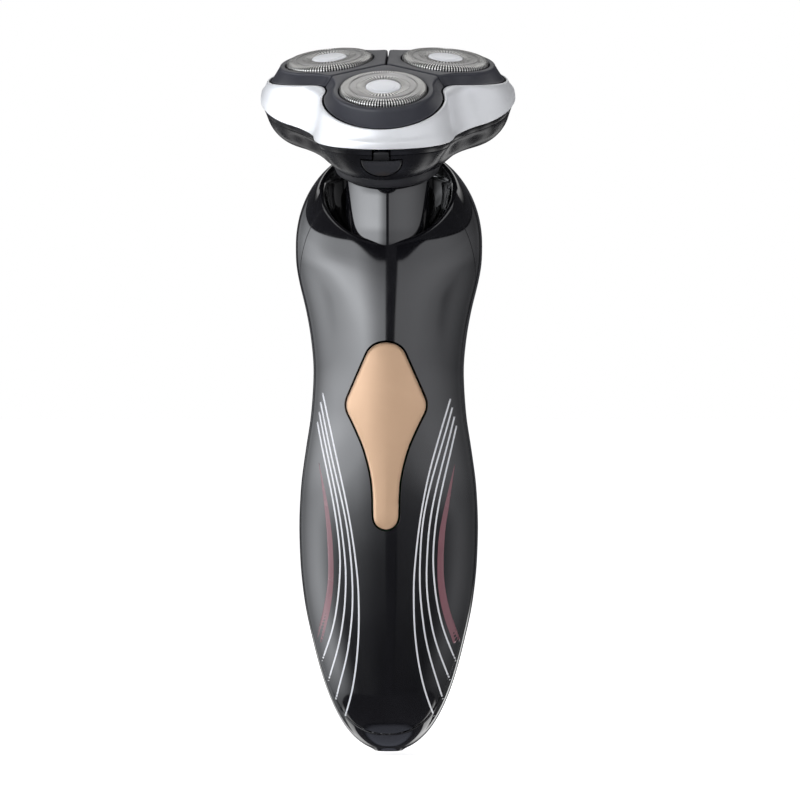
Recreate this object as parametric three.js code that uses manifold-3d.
// Cordless three-head rotary shaver: tilting triangular head on a waisted handle.
// Millimetres, +Z up the handle, front face towards -Y, origin at the centre of the foot face.
// Head pieces lie in a tilted frame: +Z along the head axis, Z = 0 in the plane of the cutters.
import * as THREE from 'three';
import { mergeVertices } from 'three/addons/utils/BufferGeometryUtils.js';
import Module from 'manifold-3d';

const wasm = await Module();
wasm.setup();

// ---- driving dimensions (mm, degrees) ----
const HEAD_TILT = 19; // head axis leans forward from the handle axis
const HEAD_ORIGIN = [0, -15, 162.7]; // centre of the plane through the three cutters
const LOBES = [['front', 0], ['right', 120], ['left', 240]]; // name, angle from the front
const LOBE_ANGLES = LOBES.map(([, angle]) => angle);
const VALLEY_ANGLES = [60, 180, 300]; // between the lobes
const LOBE_R = 16; // cutter centre to head axis
const POD_TILT = 6; // each cutter leans outward
const FOIL_R = 10.35;
const POD_GAP = 0.35; // running gap between neighbouring pods
const RING_POINTS = 36; // points round each lobed ring

const WALL = 1.9; // handle shell wall
const PARTING_GAP = 0.3; // between front panel and rear shell
const NECK_R = 9.6;
const NECK_HOLE_R = 10.8;
const COLLAR_BORE_R = 7.6;
const SCOOP_R = 17; // dish around the neck
const SCOOP_SHAFT_R = 16.2;
const SCOOP_Z = -33; // head frame

const BUTTON_Z = 85; // switch behind the power key
const BATTERY = { radius: 7, y: 4.9, bottom: 34, top: 84 };

const PIVOT_Z = -19.5; // gimbal centre on the head axis
const TRUNNION_R = 0.85;
const TRUNNION_HOLE_R = 1.0;
const EAR_R = 1.8;
const BELLOWS_WALL = 0.55;
const MOTOR_SCREW_X = 5.6;
const DECK_SCREW_DISTANCE = 12.9; // to head axis

const HINGE_Y = 24.9; // cover hinge, behind the rear lobes
const HINGE_Z = -10.5;
const HINGE_PIN_R = 0.85;
const HINGE_HOLE_R = 0.95;
const KNUCKLE_R = 1.7;
const KNUCKLE_HALF = 3.2; // half width of the cover's knuckle

const GEAR_MODULE = 0.78;
const DRIVE_TEETH = 16;
const SPINDLE_TEETH = 24;
const SPINDLE_DISTANCE = (GEAR_MODULE * (DRIVE_TEETH + SPINDLE_TEETH)) / 2; // to head axis
const GEAR_BOTTOM = -14.7;
const GEAR_TOP = -12.7;

// handle section by height: z, half width, front y, rear y
const SECTIONS = [
  [0, 3.0, -3.0, 3.0], [0.6, 3.9, -3.7, 3.7], [1.4, 5.5, -5.2, 5.2],
  [2.6, 7.3, -6.9, 6.9], [5.0, 9.7, -9.2, 9.0], [9.8, 12.7, -11.6, 11.2],
  [17, 15.6, -13.6, 13.0], [26.6, 18.2, -15.0, 14.0], [36.2, 20.2, -15.6, 14.6],
  [45.8, 21.2, -15.8, 14.9], [54, 21.4, -15.7, 15.0], [62.6, 21.1, -15.3, 15.0],
  [72.2, 19.9, -14.5, 15.0], [81.8, 18.5, -13.5, 15.0], [91.4, 18.0, -12.9, 15.1],
  [98.6, 18.6, -13.1, 15.4], [105.8, 19.8, -13.7, 15.8], [113, 21.6, -14.6, 16.4],
  [117.8, 22.3, -14.9, 16.7], [122.6, 22.4, -15.0, 17.0], [127.4, 21.8, -14.6, 17.1],
  [132.2, 20.3, -13.5, 16.9], [136.1, 18.2, -11.4, 16.4], [139.9, 15.1, -8.0, 15.2],
  [142.6, 11.6, -3.6, 13.6], [144.4, 8.0, 0.4, 11.8], [145.4, 4.5, 3.4, 9.6],
];
// parting line between front panel and rear shell: z, y
const PARTING = [
  [-2, -10.5], [4.4, -10.0], [6, -8.2], [10, -6.8], [20, -6.2], [40, -6.0],
  [70, -5.6], [95, -4.8], [120, -5.6], [135, -5.0], [150, -4.0],
];
// power key outline, top to bottom: z, half width
const KEY = [
  [97.9, 0], [97.6, 1.7], [96.9, 3.1], [95.6, 4.4], [89.5, 7.0], [84.6, 9.1],
  [82.9, 9.5], [81.4, 9.15], [78.0, 7.4], [73.2, 5.35], [70.3, 4.6], [67.0, 3.6],
  [64.1, 3.15], [56.4, 2.95], [54.4, 2.35], [53.7, 1.4], [53.4, 0],
];
// hinge lug side outline: y, z
const HINGE_LUG = [
  [15.4, -16.9], [15.4, -13.4], [22.3, -13.3], [23.6, -11.0],
  [26.4, -11.0], [26.0, -12.2], [23.6, -14.0], [19.6, -16.0],
];
// gear tooth: fraction of a tooth pitch, modules outside the pitch circle
const GEAR_TOOTH = [[-0.36, -0.85], [-0.12, 0.62], [0.12, 0.62], [0.36, -0.85]];
// cutter blade: fraction of a blade pitch, radius
const BLADE = [[-0.5, 6.1], [-0.2, 9.2], [0.05, 9.2], [-0.1, 6.1]];
const BLADE_COUNT = 9;

// ---- materials ----
const BLACK = 0x101012;
const RUBBER = 0x222226;
const STEEL = 0xb8b8b8;
const FINISH = {
  frontPanel: { color: BLACK, roughness: 0.08 },
  rearShell: { color: BLACK, roughness: 0.12 },
  collar: { color: BLACK, roughness: 0.06 },
  housing: { color: BLACK, roughness: 0.07 },
  latch: { color: BLACK, roughness: 0.2 },
  plug: { color: RUBBER, roughness: 0.7 },
  bellows: { color: RUBBER, roughness: 0.45 },
  socket: { color: 0x18181a, roughness: 0.5 },
  gold: { color: 0xc8a887, roughness: 0.3, metalness: 0.6 },
  chassis: { color: 0x2a2a2e, roughness: 0.6 },
  battery: { color: 0x2f6f4f, roughness: 0.4 },
  board: { color: 0x1d5a34, roughness: 0.5 },
  tactSwitch: { color: 0x1a1a1a, roughness: 0.5 },
  indicator: { color: 0xd8d8d0, roughness: 0.3 },
  mount: { color: 0x3a3a3e, roughness: 0.5 },
  motor: { color: 0xb4b6b8, roughness: 0.35, metalness: 0.9 },
  gimbal: { color: 0x8a8c90, roughness: 0.4, metalness: 0.8 },
  gear: { color: 0xe8e4d8, roughness: 0.5 },
  deck: { color: 0x2c2c30, roughness: 0.5 },
  tip: { color: 0x2a2a2e, roughness: 0.4 },
  trim: { color: 0xc4c8cc, roughness: 0.3, metalness: 0.85 },
  knob: { color: 0x3a3a40, roughness: 0.5 },
  pod: { color: 0x34363e, roughness: 0.35 },
  cap: { color: 0xe6e6ea, roughness: 0.3, metalness: 0.5 },
  steel: { color: STEEL, roughness: 0.3, metalness: 1 },
  polishedSteel: { color: STEEL, roughness: 0.25, metalness: 1 },
  foil: { color: STEEL, roughness: 0.28, metalness: 1 },
};

// ---- solids ----
const radians = (degrees) => (degrees * Math.PI) / 180;

// welds a closed geometry into a manifold, turned outside out if its volume is negative
function solid(source) {
  source.deleteAttribute('normal');
  source.deleteAttribute('uv');
  const welded = mergeVertices(source, 1e-4);
  const index = welded.index.array;
  const position = welded.attributes.position;
  const point = (i) => new THREE.Vector3().fromBufferAttribute(position, i);
  const triangles = [];
  let volume = 0;
  for (let i = 0; i < index.length; i += 3) {
    const [a, b, c] = [index[i], index[i + 1], index[i + 2]];
    if (a === b || b === c || a === c) continue;
    triangles.push(a, b, c);
    volume += point(a).dot(point(b).cross(point(c)));
  }
  if (volume < 0) {
    for (let i = 0; i < triangles.length; i += 3) {
      [triangles[i], triangles[i + 1]] = [triangles[i + 1], triangles[i]];
    }
  }
  return new wasm.Manifold(new wasm.Mesh({
    numProp: 3,
    vertProperties: new Float32Array(position.array),
    triVerts: new Uint32Array(triangles),
  }));
}
const asSolid = (shape) => (shape.isBufferGeometry ? solid(shape) : shape);
const cut = (base, ...tools) => tools.reduce((m, tool) => m.subtract(asSolid(tool)), asSolid(base));
const join = (base, ...parts) => parts.reduce((m, part) => m.add(asSolid(part)), asSolid(base));
const common = (a, b) => asSolid(a).intersect(asSolid(b));
const largest = (shape) => shape.decompose().sort((a, b) => b.volume() - a.volume())[0];

function addPiece(parent, name, shape, finish) {
  const built = asSolid(shape).getMesh();
  const geometry = new THREE.BufferGeometry();
  const positions = new Float32Array(built.vertProperties);
  geometry.setAttribute('position', new THREE.BufferAttribute(positions, 3));
  geometry.setIndex(new THREE.BufferAttribute(new Uint32Array(built.triVerts), 1));
  const mesh = new THREE.Mesh(geometry, new THREE.MeshStandardMaterial(finish));
  mesh.name = name;
  parent.add(mesh);
}

// closed surface through rings of equal length; ends closed by fans, or joined end to start
function loft(rings, closed = false) {
  const n = rings[0].length;
  const positions = rings.flat(2);
  const index = [];
  const rows = closed ? rings.length : rings.length - 1;
  for (let i = 0; i < rows; i++) {
    const row = i * n;
    const nextRow = ((i + 1) % rings.length) * n;
    for (let j = 0; j < n; j++) {
      const k = (j + 1) % n;
      index.push(row + j, row + k, nextRow + k, row + j, nextRow + k, nextRow + j);
    }
  }
  if (!closed) {
    for (const end of [0, rings.length - 1]) {
      const centre = positions.length / 3;
      for (let axis = 0; axis < 3; axis++) {
        positions.push(rings[end].reduce((sum, point) => sum + point[axis] / n, 0));
      }
      for (let j = 0; j < n; j++) {
        const a = end * n + j;
        const b = end * n + ((j + 1) % n);
        index.push(centre, ...(end === 0 ? [b, a] : [a, b]));
      }
    }
  }
  const geometry = new THREE.BufferGeometry();
  geometry.setAttribute('position', new THREE.Float32BufferAttribute(positions, 3));
  geometry.setIndex(index);
  return geometry;
}

// cylinders along one axis between two stations on it
const rod = (radius, length, segments) =>
  new THREE.CylinderGeometry(radius, radius, length, segments, 1);
const cylX = (radius, x0, x1, y, z, segments) =>
  rod(radius, x1 - x0, segments).rotateZ(Math.PI / 2).translate((x0 + x1) / 2, y, z);
const cylY = (radius, y0, y1, x, z, segments) =>
  rod(radius, y1 - y0, segments).translate(x, (y0 + y1) / 2, z);
const cylZ = (radius, z0, z1, segments, x = 0, y = 0) =>
  rod(radius, z1 - z0, segments).rotateX(Math.PI / 2).translate(x, y, (z0 + z1) / 2);
const box = (x0, x1, y0, y1, z0, z1) =>
  new THREE.BoxGeometry(x1 - x0, y1 - y0, z1 - z0)
    .translate((x0 + x1) / 2, (y0 + y1) / 2, (z0 + z1) / 2);

// turned about z from [radius, z] points; an open profile starts and ends on the axis
const turned = (profile, segments) =>
  new THREE.LatheGeometry(profile.map(([r, z]) => new THREE.Vector2(r, z)), segments)
    .rotateX(Math.PI / 2);
const turnedRing = (profile, segments) => turned([...profile, profile[0]], segments);

// outline in (x, y) pushed along z
function plate(outline, z0, z1) {
  const shape = new THREE.Shape(outline.map(([x, y]) => new THREE.Vector2(x, y)));
  return new THREE.ExtrudeGeometry(shape, { depth: z1 - z0, bevelEnabled: false })
    .translate(0, 0, z0);
}
// outline in (x, z) pushed along y
const frontPlate = (outline, y0, y1) =>
  plate(outline, 0, y1 - y0).rotateX(Math.PI / 2).translate(0, y1, 0);
// outline in (y, z) pushed along x
const AXES_TO_SIDE = new THREE.Matrix4().set(0, 0, 1, 0, 1, 0, 0, 0, 0, 1, 0, 0, 0, 0, 0, 1);
const sidePlate = (outline, x0, x1) => plate(outline, x0, x1).applyMatrix4(AXES_TO_SIDE);

// a shape made from near to far, and its twin from -far to -near
const bothSides = (near, far, make) => [make(-far, -near), make(near, far)];

// ---- three-lobed outlines: angles in degrees from the front, anticlockwise from above ----
const polar = (radius, angle, z = 0) =>
  [radius * Math.sin(radians(angle)), -radius * Math.cos(radians(angle)), z];
const cylsAround = (angles, distance, radius, z0, z1, segments) =>
  angles.map((angle) => {
    const [x, y] = polar(distance, angle);
    return cylZ(radius, z0, z1, segments, x, y);
  });

const fromNearestLobe = (angle) => ((((angle + 60) % 120) + 120) % 120) - 60;
// 1 at a lobe, 0 in a valley
const lobeness = (angle) => (1 + Math.cos(radians(3 * angle))) / 2;

// radius by angle: arcs of lobeRadius about the lobe centres, joined by concave arcs
// whose nearest points lie valleyRadius from the axis
function trefoil(lobeRadius, valleyRadius) {
  const excess = lobeRadius - valleyRadius;
  const arcDistance = (LOBE_R ** 2 - excess ** 2) / (LOBE_R + 2 * excess);
  const arcRadius = arcDistance - valleyRadius;
  const dx = arcDistance * 0.5 - LOBE_R;
  const dy = arcDistance * Math.sin(radians(60));
  const length = Math.hypot(dx, dy);
  const tangentAngle = Math.atan2((lobeRadius * dy) / length, LOBE_R + (lobeRadius * dx) / length);
  return (angle) => {
    const a = radians(Math.abs(fromNearestLobe(angle)));
    if (a <= tangentAngle) {
      const square = lobeRadius ** 2 - (LOBE_R * Math.sin(a)) ** 2;
      return LOBE_R * Math.cos(a) + Math.sqrt(Math.max(0, square));
    }
    const b = radians(60) - a;
    const square = arcRadius ** 2 - (arcDistance * Math.sin(b)) ** 2;
    return arcDistance * Math.cos(b) - Math.sqrt(Math.max(0, square));
  };
}

// loft through [radius, z] stations, each value a number or a function of angle
function lobedLoft(stations, closed) {
  const valueAt = (value, angle) => (typeof value === 'number' ? value : value(angle));
  return loft(stations.map(([radius, z]) => Array.from({ length: RING_POINTS }, (_, i) => {
    const angle = (i * 360) / RING_POINTS;
    return polar(valueAt(radius, angle), angle, valueAt(z, angle));
  })), closed);
}
// flat plate of trefoil outline
const lobedPlate = (outline, z0, z1) => lobedLoft([[outline, z0], [outline, z1]]);

// station on the top faces of the pods, which fall away outward
const faceStation = (radius, drop) => [radius, (angle) => {
  const outward = radius(angle) * Math.cos(radians(fromNearestLobe(angle)));
  return -Math.tan(radians(POD_TILT)) * (outward - LOBE_R) - drop;
}];
// arched lower edges of the pods and of the trim
const podEdge = (drop) => (angle) => -1.5 - 3.5 * lobeness(angle) - drop;
const trimEdge = (drop) => (angle) => -12.4 + 2.2 * lobeness(angle) - drop;

const root = new THREE.Group();
const head = new THREE.Group();
head.position.set(...HEAD_ORIGIN);
head.rotation.x = radians(HEAD_TILT);
head.updateMatrix();
root.add(head);
const headToHandle = (geometry) => geometry.applyMatrix4(head.matrix);

// ---- handle shells ----
// superellipse ring round one row of SECTIONS, grown by offset
function section([z, halfWidth, front, rear], offset, points) {
  const width = halfWidth + offset;
  const centreY = (front + rear) / 2;
  const depth = (rear - front) / 2 + offset;
  const exponent = 2 / 2.25;
  const bulge = (value) => Math.sign(value) * Math.abs(value) ** exponent;
  return Array.from({ length: points }, (_, i) => {
    const t = (2 * Math.PI * (i + 0.5)) / points;
    return [width * bulge(Math.cos(t)), centreY + depth * bulge(Math.sin(t)), z];
  });
}
// handle body grown by offset between two heights, through every step-th section and the last
function offsetBody(offset, bottom, top, points, step = 1) {
  const rows = SECTIONS.filter(([z]) => z >= bottom && z <= top)
    .filter((_, i, all) => i % step === 0 || i === all.length - 1);
  return loft(rows.map((row) => section(row, offset, points)));
}
const scoop = (grow) => join(
  headToHandle(new THREE.SphereGeometry(SCOOP_R + grow, 20, 12).translate(0, 0, SCOOP_Z)),
  headToHandle(cylZ(SCOOP_SHAFT_R + grow, SCOOP_Z, -8, 20)),
);
// power key outline in (x, z), moved outward by offset
function keyOutline(offset) {
  const last = KEY.length - 1;
  const right = KEY.map(([z, x], i) => {
    const [z0, x0] = KEY[Math.max(0, i - 1)];
    const [z1, x1] = KEY[Math.min(last, i + 1)];
    let [dx, dz] = [x1 - x0, z1 - z0];
    if (i === 0) [dx, dz] = [1, 0];
    if (i === last) [dx, dz] = [-1, 0];
    const length = Math.hypot(dx, dz);
    return [x - (dz / length) * offset, z + (dx / length) * offset];
  });
  const left = right.slice(1, last).map(([x, z]) => [-x, z]);
  return [...right, ...left.reverse()];
}
// everything in front of (side -1) or behind (side 1) the parting line
function partingBlock(side) {
  const line = PARTING.map(([z, y]) => [y + (side * PARTING_GAP) / 2, z]);
  return sidePlate([...line, [side * 40, 150], [side * 40, -2]], -30, 30);
}
function handleCasing() {
  const cavity = cut(offsetBody(-WALL, 9, 123, 16, 3), scoop(WALL + 0.2));
  const neckHole = headToHandle(cylZ(NECK_HOLE_R, -62, -28, 24));
  return cut(offsetBody(0, 0, 150, 24), largest(cavity), scoop(0), neckHole);
}
const casing = handleCasing();
const frontPanel = cut(common(casing, partingBlock(-1)), frontPlate(keyOutline(0.55), -30, 0));
const rearShell = cut(common(casing, partingBlock(1)),
  cylZ(3.2, -1, 2.2, 28), cylZ(4.0, 2.2, 10, 28)); // stepped hole for the socket
addPiece(root, 'front_panel', largest(frontPanel), FINISH.frontPanel);
addPiece(root, 'rear_shell', largest(rearShell), FINISH.rearShell);

// ---- foot: rubber plug over the two-pin charging socket ----
const socketCover = turned([[0, 0], [2.7, 0], [2.95, 0.25], [2.95, 1.9], [0, 1.9]], 20);
addPiece(root, 'socket_cover', socketCover, FINISH.plug);
addPiece(root, 'charging_socket', join(
  cut(cylZ(3.6, 2.4, 11.5, 18), cylZ(2.6, 2.0, 9.0, 14)),
  ...[-1.1, 1.1].map((x) => cylZ(0.6, 3.6, 9.5, 12, x, 0)),
), FINISH.socket);

// ---- power key: follows the handle surface, with a peg over the switch ----
function powerKey() {
  const block = common(frontPlate(keyOutline(0), -24, -8), offsetBody(0.9, 40, 110, 24));
  const key = largest(cut(block, offsetBody(-2.0, 40, 110, 16, 2)));
  return largest(join(key, cylY(1.6, -12.2, -10.6, 0, BUTTON_Z, 20)));
}
addPiece(root, 'power_key', powerKey(), FINISH.gold);

// ---- inside the handle ----
// plate with a battery wall on each side and a window behind the switch
function chassis() {
  const walls = bothSides(8.0, 9.2, (x0, x1) => box(x0, x1, -2.6, 7, BATTERY.bottom, BATTERY.top));
  return cut(join(box(-11, 11, -3.9, -2.5, 22, 96), ...walls), box(-6, 6, -5, 0, 76, 88));
}
const batteryTab = (z) => box(-3, 3, 3, 8, z - 0.2, z + 0.2);
addPiece(root, 'chassis', chassis(), FINISH.chassis);
addPiece(root, 'battery_cell',
  cylZ(BATTERY.radius, BATTERY.bottom, BATTERY.top, 32, 0, BATTERY.y), FINISH.battery);
addPiece(root, 'battery_tab_bottom', batteryTab(BATTERY.bottom - 0.6), FINISH.steel);
addPiece(root, 'battery_tab_top', batteryTab(BATTERY.top + 0.6), FINISH.steel);
addPiece(root, 'circuit_board', box(-9.5, 9.5, -6.2, -4.8, 22, 94), FINISH.board);
addPiece(root, 'tact_switch', join(
  box(-3, 3, -8.4, -6.5, BUTTON_Z - 3, BUTTON_Z + 3),
  cylY(1.5, -9.3, -8.3, 0, BUTTON_Z, 20),
), FINISH.tactSwitch);
addPiece(root, 'charge_indicator', box(-1.2, 1.2, -7.2, -6.5, 40, 42), FINISH.indicator);

// ---- neck, from here on in the head frame ----
function neckCollar() {
  const sleeve = turnedRing([
    [COLLAR_BORE_R, -26.0], [8.6, -26.0], [8.6, -27.15], [NECK_R, -27.15], [9.75, -32],
    [10.1, -37], [10.35, -41], [10.35, -44.5], [COLLAR_BORE_R, -44.5],
  ], 24);
  // two ears carry the gimbal's side trunnions
  const ears = bothSides(7.8, 8.55, (x0, x1) => join(
    box(x0, x1, -EAR_R, EAR_R, -26.6, PIVOT_Z),
    cylX(EAR_R, x0, x1, 0, PIVOT_Z, 12),
  ));
  return cut(join(sleeve, ...ears),
    cylX(TRUNNION_HOLE_R, -12, 12, 0, PIVOT_Z, 12), cylZ(COLLAR_BORE_R, -60, -25.9, 24));
}
addPiece(head, 'neck_collar', neckCollar(), FINISH.collar);
addPiece(head, 'bellows_ring_lower', turnedRing([
  [9.0, -26.85], [8.9, -26.2], [10.6, -26.2], [11.5, -26.45], [11.5, -26.75], [11.3, -26.85],
], 24), FINISH.bellows);

// ---- motor and its mount, on the head axis ----
const motorScrewHoles = (radius, z0, z1, segments) =>
  [MOTOR_SCREW_X, -MOTOR_SCREW_X].map((x) => cylZ(radius, z0, z1, segments, x, 0));
addPiece(head, 'motor_mount', cut(
  turnedRing([[2.8, -45.0], [9.9, -45.0], [9.9, -46.2], [2.8, -46.2]], 24),
  ...motorScrewHoles(0.9, -50, -40, 16),
), FINISH.mount);
[-MOTOR_SCREW_X, MOTOR_SCREW_X].forEach((x, i) => {
  const screw = turned([
    [0, -43.5], [1.3, -43.6], [1.3, -44.7], [0.6, -44.7], [0.6, -48.2], [0, -48.2],
  ], 14);
  addPiece(head, `motor_screw_${i + 1}`, screw.translate(x, 0, 0), FINISH.steel);
});
addPiece(head, 'motor_can', cut(
  turned([[0, -46.6], [7.6, -46.6], [8, -47], [8, -64], [7.6, -64.5], [0, -64.5]], 24),
  cylZ(1.3, -60, -40, 20),
  ...motorScrewHoles(0.95, -49, -46, 14),
), FINISH.motor);
const motorShaft = turned([[0, -58], [1.0, -58], [1.0, -22.2], [0, -22.2]], 18);
addPiece(head, 'motor_shaft', motorShaft, FINISH.polishedSteel);
// six-sided ball end that turns the drive gear through any head tilt
addPiece(head, 'drive_coupling', cut(turned([
  [0, -17.9], [0.8, -18.0], [1.5, -18.6], [1.8, -19.5], [1.5, -20.6], [1.5, -25.6], [0, -25.6],
], 6), cylZ(1.05, -30, -22.0, 18)), FINISH.gear);

// ---- gimbal ----
function gimbalRing() {
  const [bottom, top] = [PIVOT_Z - 1.3, PIVOT_Z + 1.3];
  return join(turnedRing([[5.4, bottom], [7.2, bottom], [7.2, top], [5.4, top]], 20),
    ...bothSides(6.5, 8.7, (x0, x1) => cylX(TRUNNION_R, x0, x1, 0, PIVOT_Z, 12)),
    ...bothSides(6.5, 8.7, (y0, y1) => cylY(TRUNNION_R, y0, y1, 0, PIVOT_Z, 12)));
}
// band of a sphere about the pivot, from 6 degrees below its equator down to lowAngle
function bellowsCup(outerRadius, lowAngle) {
  const arc = (radius) => [6, (6 + lowAngle) / 2, lowAngle].map((angle) =>
    [radius * Math.cos(radians(angle)), PIVOT_Z - radius * Math.sin(radians(angle))]);
  return turnedRing([...arc(outerRadius), ...arc(outerRadius - BELLOWS_WALL).reverse()], 24);
}
addPiece(head, 'gimbal_ring', gimbalRing(), FINISH.gimbal);
addPiece(head, 'bellows_ring_middle', bellowsCup(13.6, 25.5), FINISH.bellows);
addPiece(head, 'bellows_ring_upper', bellowsCup(14.45, 18.8), FINISH.bellows);

// ---- head housing ----
const hingeCyl = (radius, halfLength) =>
  cylX(radius, -halfLength, halfLength, HINGE_Y, HINGE_Z, 14);
const hingeHole = () => hingeCyl(HINGE_HOLE_R, 8);
// stations shared by the housing and the latch that lies flush in it
const HOUSING_TAPER = [[trefoil(13.6, 18.0), -16.8], [trefoil(10.4, 16.6), -19.3]];

function headHousing() {
  const bowl = lobedLoft([
    [trefoil(16.1, 20.4), trimEdge(0.35)],
    [trefoil(15.5, 20.0), trimEdge(1.85)],
    ...HOUSING_TAPER,
    [(angle) => 15.7 + 2.9 * lobeness(angle) ** 1.5, -20.6],
    [(angle) => 15.5 + 1.2 * lobeness(angle), -21.3],
    [15.25, -21.7],
  ]);
  const chamber = lobedPlate(trefoil(11.3, 14.7), -5, -15.4);
  const socket = new THREE.SphereGeometry(14.85, 20, 12).translate(0, 0, PIVOT_Z);
  const floor = lobedLoft([[trefoil(11.8, 15.0), -15.35], [trefoil(11.4, 14.9), -16.7]]);
  const screwPosts = cylsAround(VALLEY_ANGLES, DECK_SCREW_DISTANCE, 1.7, -16, -12.55, 16);
  // ears for the gimbal's front and rear trunnions
  const ears = bothSides(7.8, 8.8, (y0, y1) => join(
    box(-EAR_R, EAR_R, y0, y1, PIVOT_Z, -16.2),
    cylY(EAR_R, y0, y1, 0, PIVOT_Z, 12),
  ));
  const lugs = bothSides(3.6, 6.4, (x0, x1) => join(
    sidePlate(HINGE_LUG, x0, x1),
    cylX(KNUCKLE_R, x0, x1, HINGE_Y, HINGE_Z, 14),
  ));
  return cut(
    join(cut(bowl, chamber, socket), floor, ...screwPosts, ...ears, ...lugs),
    cylY(TRUNNION_HOLE_R, -12, 12, 0, PIVOT_Z, 12),
    cylZ(3.9, -20, -12, 16), // drive gear hub
    ...cylsAround(VALLEY_ANGLES, DECK_SCREW_DISTANCE, 0.75, -15.2, -10, 12),
    ...cylsAround(LOBE_ANGLES, SPINDLE_DISTANCE, 1.3, -16.2, -10, 16),
    // latch recess at the front
    box(-5.0, 5.0, -34, -27.8, -17.9, -12.6),
    box(-2.5, 2.5, -34, -27.8, -13, -9),
    hingeHole(),
  );
}
addPiece(head, 'head_housing', headHousing(), FINISH.housing);
addPiece(head, 'hinge_pin', hingeCyl(HINGE_PIN_R, 6.3), FINISH.polishedSteel);
addPiece(head, 'gearbox_deck', cut(
  lobedPlate(trefoil(11.0, 14.3), -11.3, -12.2),
  ...cylsAround(LOBE_ANGLES, SPINDLE_DISTANCE, 2.5, -13, -10, 12),
  ...cylsAround(VALLEY_ANGLES, DECK_SCREW_DISTANCE, 0.9, -13, -10, 14),
), FINISH.deck);
VALLEY_ANGLES.forEach((angle, i) => {
  const screw = turned([
    [0, -10.1], [1.2, -10.2], [1.5, -10.6], [1.5, -11.0],
    [0.6, -11.0], [0.6, -15.0], [0, -15.0],
  ], 14).translate(...polar(DECK_SCREW_DISTANCE, angle));
  addPiece(head, `deck_screw_${i + 1}`, screw, FINISH.steel);
});
function releaseLatch() {
  const skin = lobedLoft([
    [trefoil(15.8, 20.3), -11], [trefoil(15.4, 20.0), -12.4], ...HOUSING_TAPER,
  ]);
  const button = largest(common(skin, box(-4.7, 4.7, -34, -28.5, -17.6, -12.9)));
  return join(button, box(-1.9, 1.9, -30.4, -28.9, -13.4, -11.4));
}
addPiece(head, 'release_latch', releaseLatch(), FINISH.latch);

// ---- gear train ----
// outline of count teeth, each through [fraction of a pitch, radius] points
const toothedOutline = (count, tooth, phase = 0) =>
  Array.from({ length: count }, (_, i) => tooth.map(([fraction, radius]) => {
    const a = (2 * Math.PI * (i + fraction)) / count + phase;
    return [radius * Math.cos(a), radius * Math.sin(a)];
  })).flat();
function gear(teeth, phase) {
  const tooth = GEAR_TOOTH.map(([fraction, modules]) =>
    [fraction, GEAR_MODULE * (teeth / 2 + modules)]);
  return plate(toothedOutline(teeth, tooth, phase), GEAR_BOTTOM, GEAR_TOP);
}
addPiece(head, 'drive_gear', cut(
  join(gear(DRIVE_TEETH, -Math.PI / 2), cylZ(3.5, -21.0, -14.6, 18)),
  cylZ(2.35, -24, -16.9, 14),
), FINISH.gear);

// turned so that its teeth mesh with the drive gear's
function spindleGear([x, y]) {
  const towardsDrive = Math.atan2(-y, -x);
  const fromDriveTooth = Math.atan2(y, x) + Math.PI / 2;
  const toothFraction = ((fromDriveTooth * DRIVE_TEETH) / (2 * Math.PI)) % 1;
  const phase = towardsDrive + ((0.5 + toothFraction) * 2 * Math.PI) / SPINDLE_TEETH;
  return join(gear(SPINDLE_TEETH, phase), turned([
    [0, -7.0], [1.0, -7.0], [1.0, -10.4], [2.1, -10.4],
    [2.1, -14.9], [1.0, -14.9], [1.0, -15.9], [0, -15.9],
  ], 12));
}
// sprung drive tip over the gear post
const spindleTip = () => cut(turned([
  [0, -4.3], [1.0, -4.3], [1.4, -4.7], [1.4, -6.4], [1.75, -6.8], [1.75, -8.6], [0, -8.6],
], 6), cylZ(1.3, -9, -6.6, 16));
for (const [side, angle] of LOBES) {
  const centre = polar(SPINDLE_DISTANCE, angle);
  addPiece(head, `spindle_gear_${side}`, spindleGear(centre).translate(centre), FINISH.gear);
  addPiece(head, `spindle_tip_${side}`, spindleTip().translate(centre), FINISH.tip);
}

// ---- opening cover: trim, retainer, knob ----
function trimRing() {
  const band = lobedLoft([
    [trefoil(15.4, 17.0), podEdge(0.1)],
    [trefoil(15.75, 18.2), podEdge(0.15)],
    [trefoil(16.1, 19.6), podEdge(2.0)],
    [trefoil(16.45, 20.8), trimEdge(-2.0)],
    [trefoil(16.6, 21.2), trimEdge(-0.25)],
    [trefoil(16.4, 21.0), trimEdge(0)],
    [trefoil(15.35, 17.0), trimEdge(0)],
  ], true);
  // ledge that carries the retainer
  const [outside, inside] = [trefoil(15.7, 17.3), trefoil(14.0, 15.8)];
  const ledge = lobedLoft(
    [[outside, -9.3], [outside, -10.1], [inside, -10.1], [inside, -9.3]], true);
  // rear bracket tapers towards the hinge knuckle
  const bracketEnd = (y, z0, z1) => [
    [-KNUCKLE_HALF, y, z0], [KNUCKLE_HALF, y, z0], [KNUCKLE_HALF, y, z1], [-KNUCKLE_HALF, y, z1],
  ];
  const bracket = loft([bracketEnd(18.5, -12.2, -8.2), bracketEnd(HINGE_Y, -11.6, -9.2)]);
  const latchSlot = box(-2.3, 2.3, -30.6, -27.5, -12, -9);
  return cut(join(band, ledge, bracket, hingeCyl(KNUCKLE_R, KNUCKLE_HALF)),
    latchSlot, hingeHole());
}
addPiece(head, 'trim_ring', trimRing(), FINISH.trim);
addPiece(head, 'cutter_retainer', cut(
  lobedPlate(trefoil(14.8, 16.5), -7.9, -8.9),
  ...cylsAround(LOBE_ANGLES, SPINDLE_DISTANCE, 6.2, -10, -7, 16),
  cylZ(1.5, -10, -7, 20),
), FINISH.deck);
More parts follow.
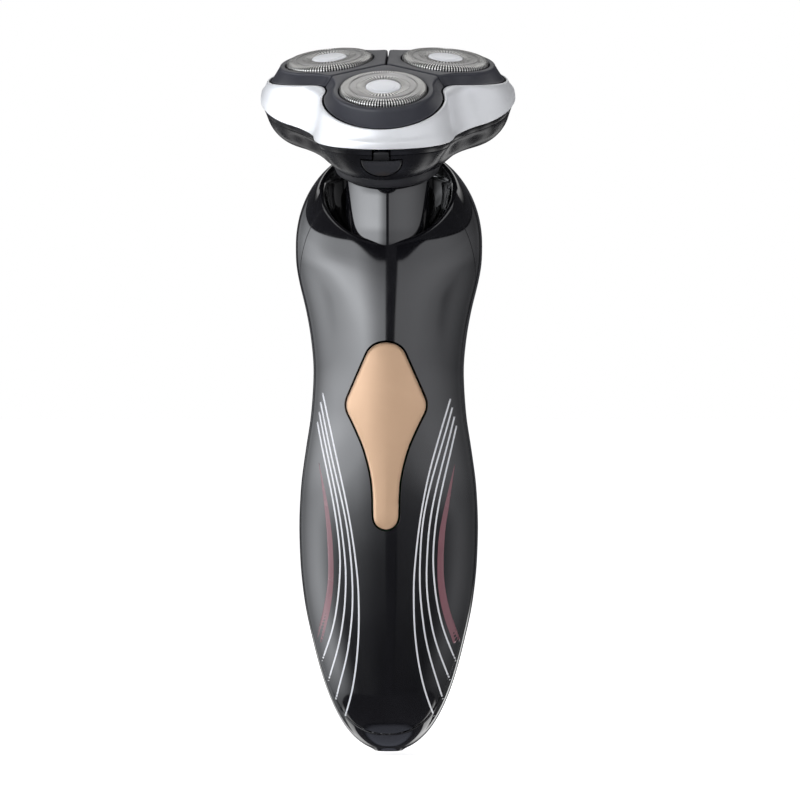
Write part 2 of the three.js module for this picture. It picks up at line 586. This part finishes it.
addPiece(head, 'retainer_knob', turned([
  [0, -7.0], [2.4, -7.0], [2.4, -7.6], [1.2, -7.7],
  [1.2, -9.2], [3.4, -9.2], [3.4, -10.6], [0, -10.6],
], 14), FINISH.knob);

// ---- pods, foils and cutters ----
const podCluster = solid(lobedLoft([
  faceStation((angle) => 0.45 * trefoil(11.2, 14.4)(angle), 0),
  faceStation(trefoil(11.5, 14.6), 0),
  faceStation(trefoil(12.0, 15.0), 0.35),
  [trefoil(14.5, 16.7), podEdge(0)],
  [trefoil(13.3, 15.2), podEdge(0)],
  [trefoil(12.4, 14.2), -6.0],
]));
// one lobe's third of the cluster, less half the gap on each side
function podSector(angle) {
  const apex = polar(POD_GAP / 2 / Math.sin(radians(60)), angle);
  const corner = (turn) => polar(60, angle + turn).map((value, axis) => value + apex[axis]);
  return plate([apex, corner(-60), polar(80, angle), corner(60)], -30, 10);
}
const foil = () => turnedRing([
  [3.9, 0.5], [4.0, 0.85], [9.7, 0.9], [FOIL_R, 0.5],
  [FOIL_R, -4.4], [9.65, -4.4], [9.65, 0.1], [3.9, 0.1],
], 24);
const foilCap = () => turned([
  [0, 1.15], [2.6, 1.05], [3.5, 0.85], [3.6, 0.5], [3.6, 0.15], [0, 0.15],
], 14);
const cutter = () => cut(join(
  plate(toothedOutline(BLADE_COUNT, BLADE), -1.5, -0.2),
  turned([[0, -0.9], [8.6, -0.9], [8.6, -1.8], [4.3, -2.0], [4.3, -6.2], [0, -6.2]], 14),
), cylZ(3.1, -8, -2.9, 12));

for (const [side, angle] of LOBES) {
  // pod axis leans outward from the head axis
  const leanAxis = new THREE.Vector3(Math.cos(radians(angle)), Math.sin(radians(angle)), 0);
  const podMatrix = new THREE.Matrix4().makeRotationAxis(leanAxis, radians(POD_TILT))
    .setPosition(...polar(LOBE_R, angle));
  const bore = cylZ(FOIL_R + 0.35, -20, 10, 28).applyMatrix4(podMatrix);
  const pod = cut(common(podCluster, podSector(angle)), bore);
  addPiece(head, `pod_${side}`, largest(pod), FINISH.pod);

  const podGroup = new THREE.Group();
  podGroup.applyMatrix4(podMatrix);
  head.add(podGroup);
  addPiece(podGroup, `foil_${side}`, foil(), FINISH.foil);
  addPiece(podGroup, `foil_cap_${side}`, foilCap(), FINISH.cap);
  addPiece(podGroup, `cutter_${side}`, cutter(), FINISH.polishedSteel);
}

export default root;
